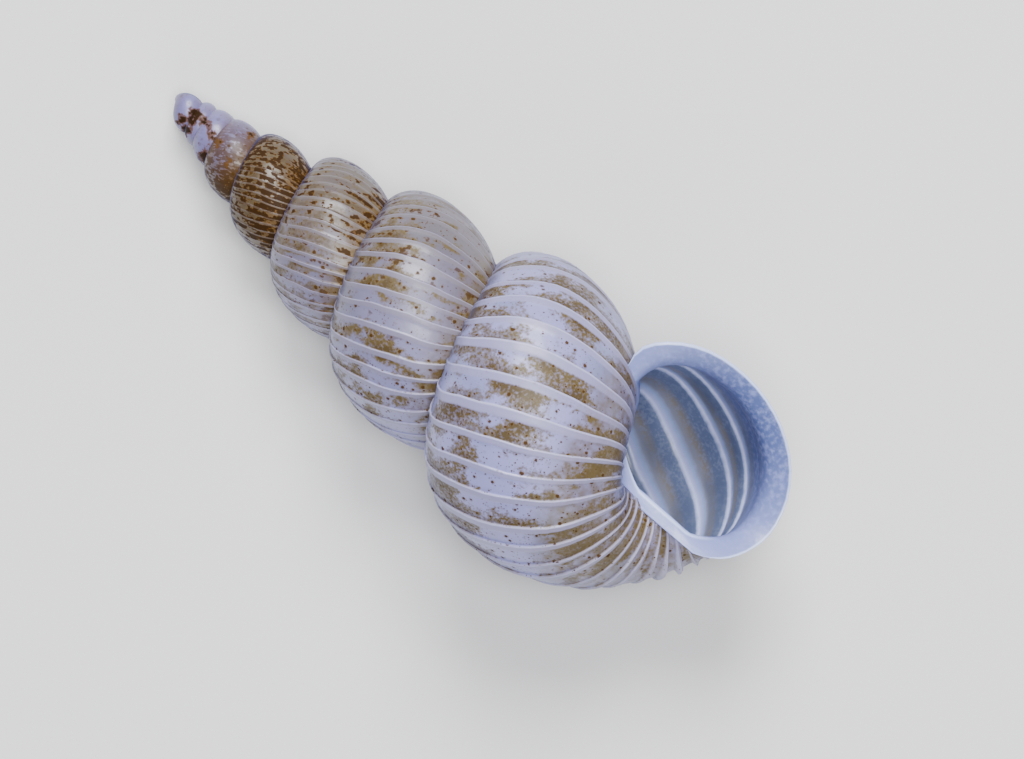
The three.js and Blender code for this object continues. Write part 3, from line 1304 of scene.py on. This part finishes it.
@dataclass(frozen=True)
class Stains:
    """Broad tan stains between the ribs, and silt in the seam between two whorls."""

    steps: tuple[float, float, float] = (5.17, 2.2, 0.8)
    seed: float = 0.0
    under_edge: Range = (0.55, 0.97)
    shares: tuple[float, float, float, float] = (0.7, 0.45, 0.04, 0.06)
    mottling: tuple[float, float, float] = (0.14, 0.12, 0.06)
    side_lightening: float = 0.03
    stained: Range = (0.60, 0.69)
    deep: Range = (0.68, 0.78)
    tip_kept: float = 0.8
    old_kept: float = 0.45
    depth: Range = (0.3, 1.4)
    depth_grain: float = 0.9
    depth_start: float = 0.6
    depth_limit: float = 0.7
    silt: tuple[float, float, float] = (1.3, 0.5, 0.1)
    silt_off_tip: float = 0.65

    def build(self, skin: Skin) -> tuple[Field, Field]:
        """Makes the stains.

        Args:
            skin: the shell's numbers.

        Returns:
            How strongly a place is stained, and how deep its stain is.
        """
        patches = skin.in_gaps(self.steps, self.seed)
        by_patch, by_region, by_age, by_edge = self.shares
        fine, grain, less = self.mottling
        mottled = skin.fine * fine + skin.grain * grain - less
        wealth = patches * by_patch + skin.regions * by_region + mottled
        # More tan toward the next rib's overhanging edge.
        wealth = wealth + skin.old * by_age + skin.phase.smooth(*self.under_edge) * by_edge
        # Slightly less tan on the lighter side of each whorl.
        wealth = wealth - skin.clean * self.side_lightening
        tan = wealth.smooth(*self.stained) * skin.gap
        tan = tan * (1.0 - skin.tip * self.tip_kept) * (1.0 - skin.old * self.old_kept)
        depth = patches + skin.grain * self.depth_grain - self.depth_start
        least, more = self.depth
        tan = tan * (least + more * depth.clamped(0.0, self.depth_limit))
        return tan, wealth.smooth(*self.deep)

    def crevice(self, skin: Skin) -> Field:
        """Makes the silt in the seam between two whorls.

        Args:
            skin: the shell's numbers.

        Returns:
            How much silt lies there.
        """
        fine, old, least = self.silt
        silt = skin.near_seam * (skin.fine * fine + skin.old * old + least)
        return silt * (1.0 - skin.tip * self.silt_off_tip)


@dataclass(frozen=True)
class Blotches:
    """Dark blotches on the old whorls, each with a darker core, and the tip's spots."""

    steps: tuple[float, float, float] = (3.3, 4.0, 1.4)
    seed: float = 9.0
    shares: tuple[float, float, float, float] = (0.65, 0.45, 0.25, 0.08)
    less: float = 0.13
    turns: Range = (-2.3, -1.2)
    by_age: float = 0.035
    blotch: tuple[float, float, float] = (0.08, 0.64, 0.665)
    core: tuple[float, float, float] = (0.09, 0.668, 0.69)
    ragged: tuple[float, float, float, float] = (1.6, 0.9, 1.25, 1.4)
    soft: Range = (-0.45, -0.1)
    hard: Range = (0.0, 0.4)

    def build(self, skin: Skin) -> tuple[Field, Field]:
        """Makes the blotches.

        Args:
            skin: the shell's numbers.

        Returns:
            The blotches and their cores.
        """
        streaks, by_drop, by_region, by_seam = self.shares
        ink = skin.in_gaps(self.steps, self.seed) * streaks + skin.drops * by_drop
        ink = ink + skin.regions * by_region + skin.near_seam * by_seam - self.less
        ink = ink + skin.old * self.by_age
        inked = (1.0 - skin.turn.smooth(*self.turns)) * (1.0 - skin.tip) * skin.kept * skin.gap
        blotch, core = (
            (ink + skin.oldest * oldest).smooth(start, end) * inked
            for oldest, start, end in (self.blotch, self.core)
        )
        return blotch, core

    def tip_spots(self, skin: Skin) -> tuple[Field, Field]:
        """Makes the tip's spots.

        Args:
            skin: the shell's numbers.

        Returns:
            The spots with their soft edges, and their hard middles.
        """
        drops, grain, less, strength = self.ragged
        edge = (skin.drops * drops + skin.grain * grain - less) * strength
        spots = (skin.paint.number(Attribute.SPOT) + edge) * skin.tip - (1.0 - skin.tip)
        return spots.smooth(*self.soft), spots.smooth(*self.hard)


@dataclass(frozen=True)
class Specks:
    """Round specks of several sizes with pale haloes, and fine dust, in crowds."""

    shake: float = 0.00001
    shake_scale: float = 90.0
    scale: float = 30.0
    dust_scale: float = 52.0
    crowd_pattern: Pattern = Pattern(3.5, 1.0, 8.0)
    least_radius: float = 0.13
    more_radius: float = 0.24
    on_tip: float = 0.75
    rarity: tuple[float, float] = (0.87, 1.4)
    dust_rarity: tuple[float, float] = (1.0, 1.5)
    by_age: float = 0.15
    softness: float = 0.02
    edge: Range = (0.7, 1.15)
    halo_edge: Range = (0.9, 2.0)
    dust_edge: Range = (0.12, 0.22)

    def build(self, skin: Skin) -> tuple[Field, Field, Field]:
        """Makes the specks.

        Args:
            skin: the shell's numbers.

        Returns:
            The specks, their haloes and the dust.
        """
        unit = skin.per_millimetre
        ragged = skin.paint.shaken(self.shake, self.shake_scale * unit)
        distance, luck, size = skin.paint.cells(self.scale * unit, ragged)
        dust_distance, dust_luck, _ = skin.paint.cells(self.dust_scale * unit, ragged)
        crowd = skin.noise(self.crowd_pattern)
        clear = skin.outside * (1.0 - skin.tip * self.on_tip) * skin.gap
        chosen, dusty = (
            number - (most - crowd * by_crowd - skin.old * self.by_age)
            for number, (most, by_crowd) in ((luck, self.rarity), (dust_luck, self.dust_rarity))
        )
        chosen = chosen.smooth(0.0, self.softness) * clear
        dusty = dusty.smooth(0.0, self.softness) * clear
        distance = distance / (self.least_radius + self.more_radius * size * size * size * size)
        speck = (1.0 - distance.smooth(*self.edge)) * chosen
        halo = (1.0 - distance.smooth(*self.halo_edge)) * chosen
        return speck, halo, (1.0 - dust_distance.smooth(*self.dust_edge)) * dusty


@dataclass(frozen=True)
class Inside:
    """Colours of the inside, whose gaps show through, with painted highlights and painted shade on
    its ridges, and of the lip around the mouth.
    """

    # One inner ridge and its gap: the bright crest at both ends is partly the thicker shell's own
    # white and partly a painted highlight; the dark blue-grey beside each crest is painted shade;
    # the tan between is the shell's colour.
    stops: tuple[tuple[float, Colour], ...] = (
        (0.0, (0.45, 0.49, 0.80)), (0.07, (0.40, 0.44, 0.76)), (0.17, (0.28, 0.36, 0.66)),
        (0.3, (0.21, 0.22, 0.29)), (0.48, (0.18, 0.165, 0.155)), (0.66, (0.095, 0.12, 0.22)),
        (0.92, (0.09, 0.12, 0.23)), (1.0, (0.47, 0.51, 0.82)),
    )
    shake: float = 0.07
    valley_start: Range = (0.2, 0.4)
    valley_end: Range = (0.9, 0.97)
    pale: tuple[float, float, float] = (0.9, 0.35, 0.5)
    deep: tuple[float, float, float] = (0.45, 0.62, 0.6)
    mottle_pattern: Pattern = Pattern(36.0, 2.0, 5.0)
    mottle: Range = (0.2, 0.62)
    rim_turns: Range = (-0.1, -0.045)
    rim_depth: float = 0.1
    blue_width: float = 65
    blueness: float = 0.9
    wall_turns: Range = (-0.3, -0.2)
    edge_lift: Range = (0.014, 0.026)
    line_lift: Range = (-0.092, 0.008)
    line_turns: Range = (-0.035, -0.03)

    def build(self, skin: Skin, palette: Palette, outside: Shade) -> Socket:
        """Lays the colours of the inside and of the lip over those of the outside.

        Args:
            skin: the shell's numbers.
            palette: the shell's colours.
            outside: colour of the outside.

        Returns:
            The colour of the whole shell.
        """
        paint, phase = skin.paint, skin.phase
        shaken = (phase + (skin.fine - 0.5) * self.shake).clamped(0.0, 1.0)
        # Painted highlight on each inner ridge's crest and painted shade beside it, from the
        # ramp's stops.
        colour = paint.ramp(shaken, self.stops)
        valley = phase.smooth(*self.valley_start) * (1.0 - phase.smooth(*self.valley_end))
        above, reach, most = self.pale
        pale = (skin.grain + skin.fine - above).smooth(0.0, reach)
        colour = paint.mixed(valley * pale * most, colour, palette.pale)
        start, end, most = self.deep
        colour = paint.mixed(valley * skin.regions.smooth(start, end) * most, colour, palette.deep)
        blue = skin.angle.bump(0.0, math.radians(self.blue_width)) * self.blueness
        blue = skin.noise(self.mottle_pattern).smooth(*self.mottle) * blue
        face = paint.mixed(blue, palette.lilac, palette.rim)
        face = paint.mixed(skin.by_axis, face, palette.lilac)
        rim = skin.turn.smooth(*self.rim_turns) * skin.inside.smooth(0.0, self.rim_depth)
        colour = paint.mixed(rim, colour, face)
        wall = skin.by_axis * skin.turn.smooth(*self.wall_turns)
        outside = paint.mixed(wall, outside, palette.lilac)
        colour = paint.mixed(1.0 - skin.outside, outside, colour)
        line = skin.lift.bump(*self.line_lift) * skin.turn.smooth(*self.line_turns)
        line = line * skin.by_axis
        edge = skin.lift.smooth(*self.edge_lift) * (1.0 - skin.by_axis) + line
        return paint.mixed(edge.clamped(0.0, 1.0), colour, palette.rim_edge)


@dataclass(frozen=True)
class Layers:
    """How strongly each layer of colour shows over the ones below. Pairs are less by age."""

    aged: float = 0.95
    aged_off_tip: float = 0.8
    tip: float = 0.9
    silted: float = 0.9
    low: float = 0.8
    halo: float = 0.4
    crevice: float = 0.85
    amber_silt: float = 0.8
    rib: Range = (0.75, 0.25)
    rib_edge: Range = (0.5, 0.38)
    blotch: float = 0.9
    soft_spot: float = 0.8
    speck: float = 0.95


@dataclass(frozen=True)
class Gloss:
    """Gloss and fine relief of the surface, which dirt dulls. Pairs are less by dirt."""

    tan_dirt: float = 0.5
    roughness: tuple[float, float, float] = (0.38, 0.1, 0.25)
    specular: Range = (0.5, 0.4)
    coat: Range = (0.22, 0.2)
    coat_roughness: float = 0.2
    relief: tuple[float, float, float] = (0.8, 0.6, 0.3)
    relief_off_tip: float = 0.8
    relief_height: float = 0.000004
    relief_strength: float = 0.6

    def build(self, skin: Skin, marks: dict[str, Field], colour: Socket) -> None:
        """Joins the colour, the gloss and the relief to the shader.

        Args:
            skin: the shell's numbers.
            marks: the tan stains, blotches, specks and soft spots, by name.
            colour: the shell's colour.
        """
        tan, blotch, speck = marks["tan"], marks["blotch"], marks["speck"]
        dirt = (tan * self.tan_dirt + blotch + speck + marks["spot"]).clamped(0.0, 1.0)
        by_grain, by_speck, by_blotch = self.relief
        height = skin.fine * by_grain + speck * by_speck + blotch * by_blotch
        height = height * (1.0 - skin.tip * self.relief_off_tip)
        values = {"Distance": self.relief_height, "Strength": self.relief_strength}
        relief = skin.paint.add("ShaderNodeBump", {"Height": height, **values})
        clean, by_rib, by_dirt = self.roughness
        rough = clean + by_rib * skin.band + by_dirt * dirt
        tree = skin.paint.tree
        shader = tree.nodes["Principled BSDF"]
        shader.inputs["Coat Roughness"].default_value = self.coat_roughness
        for name, socket in (
            ("Base Color", colour),
            ("Roughness", rough.socket),
            ("Specular IOR Level", (self.specular[0] - self.specular[1] * dirt).socket),
            ("Coat Weight", (self.coat[0] - self.coat[1] * dirt).socket),
            ("Normal", relief.outputs[0]),
        ):
            tree.links.new(socket, shader.inputs[name])


@dataclass(frozen=True)
class ShellFinish:
    """Glossy, slightly translucent shell with stains and specks between its ribs."""

    palette: Palette = Palette()
    layers: Layers = Layers()
    stains: Stains = Stains()
    blotches: Blotches = Blotches()
    specks: Specks = Specks()
    inside: Inside = Inside()
    gloss: Gloss = Gloss()
    milk_pattern: Pattern = Pattern(2.6, 1.0, 12.0)
    milk: tuple[float, float, float] = (0.5, 0.68, 0.6)
    low_side: Range = (-0.3, 0.5)
    low_turns: Range = (-6.4, -5.6)
    # painted shade: how the dark blue grows as the surface turns away from the camera
    painted_grazing_shade_blend: float = 0.35
    painted_grazing_shade: tuple[float, float, float] = (0.4, 1.0, 0.55)

    def base(self, skin: Skin) -> Socket:
        """Colour of the clean shell by its age.

        Args:
            skin: the shell's numbers.

        Returns:
            The colour.
        """
        colours, layers, mixed = self.palette, self.layers, skin.paint.mixed
        start, end, most = self.milk
        milk = skin.noise(self.milk_pattern).smooth(start, end) * most
        colour = mixed(milk * skin.gap * (1.0 - skin.old), colours.white, colours.translucent)
        aged = skin.aged * (1.0 - skin.tip * layers.aged_off_tip) * layers.aged
        colour = mixed(aged, colour, colours.aged)
        colour = mixed(skin.tip * layers.tip, colour, colours.tip)
        low = skin.angle.smooth(*self.low_side) * skin.tip * skin.turn.smooth(*self.low_turns)
        silted = skin.oldest * (1.0 - skin.tip) * layers.silted + low * layers.low
        return mixed(silted, colour, colours.silted)

    def marked(self, skin: Skin) -> tuple[Socket, dict[str, Field]]:
        """Colour of the outside, with its ribs and all its marks.

        Args:
            skin: the shell's numbers.

        Returns:
            The colour, and those of the marks that also change the gloss.
        """
        colours, layers, mixed = self.palette, self.layers, skin.paint.mixed
        tan, deep = self.stains.build(skin)
        blotch, core = self.blotches.build(skin)
        soft_spot, hard_spot = self.blotches.tip_spots(skin)
        speck, halo, dust = self.specks.build(skin)
        crevice = self.stains.crevice(skin).clamped(0.0, 1.0)
        silt = mixed(skin.old * layers.amber_silt, colours.tan, colours.amber)
        rib, rib_edge = (most - less * skin.aged for most, less in (layers.rib, layers.rib_edge))
        colour = self.base(skin)
        for share, above in (
            (tan.clamped(0.0, 1.0), mixed(deep, colours.tan, colours.brown)),
            (halo * layers.halo, colours.halo),
            (crevice * layers.crevice, silt),
            (skin.band * rib, mixed(skin.aged, colours.rib, colours.aged_rib)),
            (skin.edge * rib_edge, colours.rib_edge),
            (blotch * layers.blotch, colours.amber),
            (core * layers.blotch, colours.dark),
            (soft_spot * layers.soft_spot, colours.amber),
            (hard_spot, colours.dark),
            ((speck + dust).clamped(0.0, 1.0) * layers.speck, colours.speck),
        ):
            colour = mixed(share, colour, above)
        return colour, {"tan": tan, "blotch": blotch, "speck": speck, "spot": soft_spot}

    def build(self) -> bpy.types.Material:
        """Makes the material.

        Returns:
            The material.
        """
        material = bpy.data.materials.new("stained shell")
        material.use_nodes = True
        paint = Paint(material.node_tree)
        skin = Skin(paint)
        colour, marks = self.marked(skin)
        colour = self.inside.build(skin, self.palette, colour)
        # Painted shade: the colour turns dark blue where the surface turns away from the camera.
        facing = paint.add("ShaderNodeLayerWeight", {"Blend": self.painted_grazing_shade_blend})
        start, end, most = self.painted_grazing_shade
        painted_grazing_shade = Field(paint.tree, facing.outputs["Facing"]).smooth(start, end) * most
        self.gloss.build(skin, marks, paint.mixed(painted_grazing_shade, colour, self.palette.painted_grazing_shade))
        return material


# ---- the object and its stage ---------------------------------------------------------


@dataclass
class Shell:
    """The shell, in one piece."""

    growth: Growth = field(default_factory=Growth)
    ribs: RibLaw = field(default_factory=RibLaw)
    finish: ShellFinish = field(default_factory=ShellFinish)

    def build(self) -> bpy.types.Object:
        """Winds the shell up from its sheet.

        Returns:
            The shell as a plain mesh object.
        """
        table = self.growth.table()
        sheet = Sheet(self.ribs).build()
        TubeTree(self.growth).build(self.finish.build(), table, sheet)
        graph = bpy.context.evaluated_depsgraph_get()
        mesh = bpy.data.meshes.new_from_object(sheet.evaluated_get(graph), depsgraph=graph)
        shell = in_scene("ribbed_shell", mesh)
        sheet.modifiers.clear()
        for helper in (sheet, table):
            bpy.data.objects.remove(helper, do_unlink=True)
        LOG.info("shell: %d faces", len(mesh.polygons))
        return shell

    def dress(self, shell: bpy.types.Object) -> None:
        """Ties the shell to its body, and hides the record's own part of the same name.

        Args:
            shell: the object that build() made.
        """
        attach(shell, "root")
        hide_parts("shell")


@dataclass
class Stage:
    """Floor, light and camera. The lamps are names, places and sizes in metres, and watts."""

    floor_half: float = 0.15
    view_centre: tuple[float, float] = (0.3747, -0.0039)
    view_width: float = 5.347
    view_turn: float = 40.715
    view_plane: float = 0.0007
    lens: float = 400.0
    sensor: float = 36.0
    clipping: Range = (0.001, 1.0)
    floor_colour: tuple[float, ...] = (0.64, 0.64, 0.65, 1.0)
    floor_roughness: float = 0.8
    sky_colour: tuple[float, ...] = (0.9, 0.93, 1.0, 1.0)
    sky_strength: float = 0.22
    lamps: tuple[tuple[str, tuple[float, float, float], float, float], ...] = (
        ("overhead", (0.005, 0.0, 0.09), 0.04, 0.092),
        ("key", (-0.025, 0.035, 0.05), 0.03, 0.08),
        ("fill", (0.04, -0.03, 0.03), 0.04, 0.015),
    )

    def build(self) -> None:
        """Sets the stage up around the shell."""
        self.build_floor()
        self.build_lights()
        self.build_camera()

    def build_floor(self) -> None:
        """Lays a plain pale floor under the shell."""
        half = self.floor_half
        corners = [(-half, -half, 0), (half, -half, 0), (half, half, 0), (-half, half, 0)]
        mesh = bpy.data.meshes.new("floor")
        mesh.from_pydata(corners, [], [(0, 1, 2, 3)])
        material = bpy.data.materials.new("pale floor")
        material.use_nodes = True
        shader = material.node_tree.nodes["Principled BSDF"]
        shader.inputs["Base Color"].default_value = self.floor_colour
        shader.inputs["Roughness"].default_value = self.floor_roughness
        mesh.materials.append(material)
        floor = in_scene("floor", mesh)

    def build_lights(self) -> None:
        """Hangs the soft lights."""
        world = bpy.data.worlds.new("studio")
        world.use_nodes = True
        background = world.node_tree.nodes["Background"]
        background.inputs["Color"].default_value = self.sky_colour
        background.inputs["Strength"].default_value = self.sky_strength
        bpy.context.scene.world = world
        for name, place, size, power in self.lamps:
            data = bpy.data.lights.new(name, "AREA")
            data.size, data.energy = size, power
            lamp = in_scene(name, data)
            lamp.location = place
            lamp.rotation_euler = (-Vector(place)).to_track_quat("-Z", "Y").to_euler()

    def build_camera(self) -> None:
        """Looks straight down on the shell."""
        data = bpy.data.cameras.new("camera")
        data.lens, data.sensor_width = self.lens, self.sensor
        distance = self.view_width * MILLIMETRE * self.lens / self.sensor
        data.clip_start, data.clip_end = self.clipping
        camera = in_scene("camera", data)
        x, y = self.view_centre
        camera.location = (x * MILLIMETRE, y * MILLIMETRE, distance + self.view_plane)
        camera.rotation_euler = (0.0, 0.0, math.radians(self.view_turn))
        bpy.context.scene.camera = camera


def main() -> None:
    """Builds the shell and its stage."""
    logging.basicConfig(level=logging.INFO, format="%(name)s: %(message)s")
    shell = Shell()
    shell.dress(shell.build())
    Stage().build()


if __name__ == "__main__":
    main()
